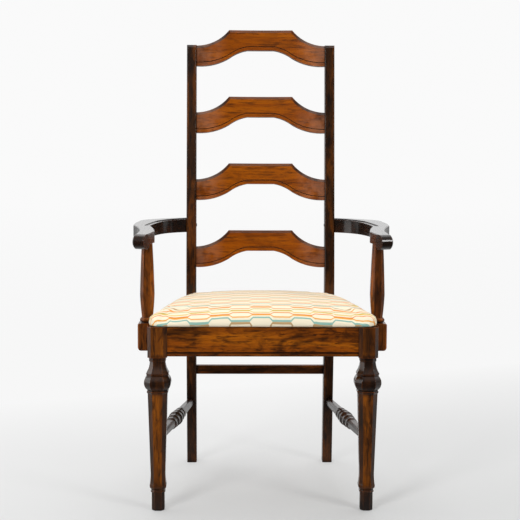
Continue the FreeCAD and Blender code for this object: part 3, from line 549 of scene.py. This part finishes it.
def seat_cushion():
    low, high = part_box("seat_cover")
    rear_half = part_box("rear_post_right")[1].x
    cushion = bpy.data.objects.new("seat_cushion", outer_skin())
    bpy.context.scene.collection.objects.link(cushion)
    remesh = cushion.modifiers.new("remesh", "REMESH")
    remesh.mode = "VOXEL"
    remesh.voxel_size = VOXEL
    relax = cushion.modifiers.new("relax", "SMOOTH")
    relax.iterations = ROUNDING_PASSES
    relax.factor = 0.5
    apply_modifiers(cushion)
    swell(cushion, low.z)
    fine = cushion.modifiers.new("fine", "SUBSURF")
    fine.levels = 1
    fine.render_levels = 1
    apply_modifiers(cushion)
    for vertex in cushion.data.vertices:
        vertex.co.z = max(vertex.co.z, low.z + 0.0004)
    cushion.data.polygons.foreach_set("use_smooth", [True] * len(cushion.data.polygons))
    print_places(cushion, low, high, rear_half)
    cushion.data.materials.clear()
    cushion.data.materials.append(printed_cloth())
    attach(cushion, "root")
    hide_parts("seat_cover")
    return cushion


# Materials of the solid pieces

def dress(material, *names):
    for name in names:
        nodes[name].data.materials.clear()
        nodes[name].data.materials.append(material)


def both(name):
    return name + "_left", name + "_right"


def dress_wood():
    slat = wood("slat_wood", "X", srgb(156, 80, 3), srgb(134, 64, 2), srgb(66, 29, 4), srgb(176, 98, 34),
                hollow_shade=1.0, blotch=0.3, wear=0.2, coat=0.22, glaze_and_shade_mask=slat_glaze_and_shade, painted_sheen=slat_painted_sheen)
    dress(slat, "slat_1", "slat_2", "slat_3", "slat_4")
    rail = wood("rail_wood", "X", srgb(160, 86, 4), srgb(134, 66, 3), srgb(40, 19, 5), srgb(150, 80, 26),
                hollow_shade=1.0, blotch=0.85, wear=0.1, coat=0.08, shift=0.37, glaze_and_shade_mask=rail_glaze_and_shade)
    dress(rail, "front_rail")
    leg = wood("leg_wood", "Z", srgb(138, 74, 5), srgb(98, 50, 5), srgb(24, 13, 6), srgb(160, 80, 20),
               hollow_shade=1.0, blotch=0.7, wear=0.7, coat=1.0, glaze_and_shade_mask=leg_glaze)
    dress(leg, *both("front_leg"))
    post = wood("post_wood", "Z", srgb(92, 48, 9), srgb(52, 28, 9), srgb(15, 9, 6), srgb(100, 50, 18),
                hollow_shade=0.9, blotch=0.75, wear=0.4, coat=0.3)
    dress(post, *both("rear_post"))
    arm_post = wood("arm_post_wood", "Z", srgb(152, 80, 16), srgb(112, 57, 14), srgb(26, 15, 8),
                    srgb(140, 74, 26), hollow_shade=1.0, blotch=0.6, wear=0.4, coat=0.3, shift=0.61, glaze_and_shade_mask=post_glaze)
    dress(arm_post, *both("arm_post"))
    arm = wood("arm_wood", "Y", srgb(44, 24, 13), srgb(26, 16, 10), srgb(12, 9, 7), srgb(96, 48, 18),
               hollow_shade=0.7, blotch=0.5, wear=0.4, roughness=0.26, coat=1.0, relief=0.03)
    dress(arm, *both("arm"), "arm_buttons")
    stretcher = wood("stretcher_wood", "Y", srgb(62, 30, 10), srgb(36, 20, 10), srgb(14, 9, 6),
                     srgb(110, 54, 22), hollow_shade=1.0, wear=0.5, coat=0.6, relief=0.06)
    dress(stretcher, *both("side_stretcher"), *both("side_rail"))
    cross = wood("cross_wood", "X", srgb(120, 60, 8), srgb(76, 39, 8), srgb(24, 14, 8), srgb(120, 62, 20),
                 hollow_shade=0.9, wear=0.3)
    dress(cross, "rear_stretcher", "rear_rail")
    plain = wood("block_wood", "Y", srgb(206, 170, 120), srgb(190, 150, 100), srgb(150, 112, 70),
                 srgb(214, 180, 130), hollow_shade=0.2, blotch=0.2, wear=0.1, roughness=0.6, coat=0.0)
    dress(plain, *both("corner_block_front"), *both("corner_block_rear"))


# Studio

def floor():
    """A wide pale floor that keeps the chair's shadow and fades into the white background."""
    graph = Graph("studio_floor")
    place = graph.place()
    parts = graph.add("SeparateXYZ", {0: place}).outputs
    behind = graph.math("MULTIPLY_ADD", parts[0], -0.4, parts[1])
    fade = graph.add("MapRange", {"Value": behind, "From Min": FADE_START, "From Max": FADE_END}).outputs[0]
    spread = graph.add("VectorMath", {0: place}, operation="LENGTH").outputs["Value"]
    fade = graph.math("MAXIMUM", fade, graph.smooth(spread, ROUND_FADE_START, ROUND_FADE_END))
    rays = graph.add("LightPath")
    seen = graph.math("MAXIMUM", rays.outputs["Is Camera Ray"], rays.outputs["Is Transmission Ray"])
    grain = graph.noise(place, 3.0, 2.0)
    tone = graph.mix(grain, (FLOOR_TONE, FLOOR_TONE * 1.010, FLOOR_TONE * 1.006, 1),
                     (FLOOR_TONE * 1.02, FLOOR_TONE * 1.030, FLOOR_TONE * 1.026, 1))
    surface = graph.add("BsdfPrincipled", {"Base Color": tone, "Roughness": 0.7, "Specular IOR Level": 0.2})
    far = graph.add("MapRange", {"Value": spread, "From Min": 2.0, "From Max": 11.0, "To Min": FLOOR_FAR,
                                 "To Max": BACKGROUND}).outputs[0]
    glow = graph.add("Emission", {"Color": (1, 1, 1, 1), "Strength": far})
    blend = graph.add("MixShader", {0: graph.math("MULTIPLY", fade, seen), 1: surface.outputs[0],
                                    2: glow.outputs[0]})
    # Painted reflection: seen in reflections, the floor in front turns dark.
    front = graph.math("MULTIPLY", graph.smooth(parts[1], 0.3, -0.6), rays.outputs["Is Glossy Ray"])
    dim = graph.add("Emission", {"Color": (1, 1, 1, 1), "Strength": ROOM_FRONT})
    blend = graph.add("MixShader", {0: front, 1: blend.outputs[0], 2: dim.outputs[0]})
    material = graph.finish(blend.outputs[0])
    mesh = bpy.data.meshes.new("studio_floor")
    form = bmesh.new()
    bmesh.ops.create_circle(form, cap_ends=True, segments=96, radius=FLOOR_RADIUS)
    form.to_mesh(mesh)
    form.free()
    mesh.materials.append(material)
    piece = bpy.data.objects.new("studio_floor", mesh)
    bpy.context.scene.collection.objects.link(piece)


def world():
    """White for the camera; the room's own light is bright behind and above, dim in front."""
    sky = bpy.data.worlds.new("studio_world")
    bpy.context.scene.world = sky
    sky.use_nodes = True
    tree = sky.node_tree
    tree.nodes.clear()

    def add(kind, **settings):
        node = tree.nodes.new("ShaderNode" + kind)
        for key, value in settings.items():
            setattr(node, key, value)
        return node

    def ramp(socket, low, high, first, last):
        node = add("MapRange", interpolation_type="SMOOTHSTEP")
        tree.links.new(socket, node.inputs["Value"])
        for key, value in (("From Min", low), ("From Max", high), ("To Min", first), ("To Max", last)):
            node.inputs[key].default_value = value
        return node.outputs[0]

    parts = add("SeparateXYZ")
    tree.links.new(add("TexCoord").outputs["Generated"], parts.inputs[0])
    behind = ramp(parts.outputs[1], -0.1, 0.5, ROOM_FRONT, ROOM_BACK)
    above = ramp(parts.outputs[2], 0.1, 0.9, 0.0, ROOM_ABOVE)
    level = add("Math", operation="ADD")
    tree.links.new(behind, level.inputs[0])
    tree.links.new(above, level.inputs[1])
    white = add("Background")
    white.inputs["Color"].default_value = (BACKGROUND, BACKGROUND, BACKGROUND, 1)
    room = add("Background")
    room.inputs["Color"].default_value = (1, 1, 1, 1)
    tree.links.new(level.outputs[0], room.inputs["Strength"])
    blend = add("MixShader")
    tree.links.new(add("LightPath").outputs["Is Camera Ray"], blend.inputs[0])
    tree.links.new(room.outputs[0], blend.inputs[1])
    tree.links.new(white.outputs[0], blend.inputs[2])
    tree.links.new(blend.outputs[0], add("OutputWorld").inputs["Surface"])


def softbox(name, place, target, size, power):
    light = bpy.data.lights.new(name, "AREA")
    light.shape = "RECTANGLE"
    light.size, light.size_y = size
    light.energy = power
    lamp = bpy.data.objects.new(name, light)
    lamp.location = place
    lamp.rotation_euler = (Vector(target) - Vector(place)).to_track_quat("-Z", "Y").to_euler()
    bpy.context.scene.collection.objects.link(lamp)


def lights():
    for lamp in LAMPS:
        softbox(*lamp)


def camera():
    view = bpy.data.cameras.new("photo_view")
    view.sensor_width = SENSOR_WIDTH
    view.lens = FOCAL_PIXELS / IMAGE_WIDTH * SENSOR_WIDTH
    piece = bpy.data.objects.new("photo_view", view)
    piece.location = CAMERA_PLACE
    piece.rotation_euler = (math.radians(90 - CAMERA_PITCH), math.radians(-CAMERA_ROLL),
                            math.radians(-CAMERA_TURN))
    bpy.context.scene.collection.objects.link(piece)
    bpy.context.scene.camera = piece


dress_wood()
dress(metal(), "seat_screws", "arm_screws", "arm_post_screws")
dress(foam(), "seat_foam")
dress(plywood(), "seat_board")
seat_cushion()
floor()
world()
lights()
camera()
bpy.context.scene.view_settings.view_transform = "Standard"
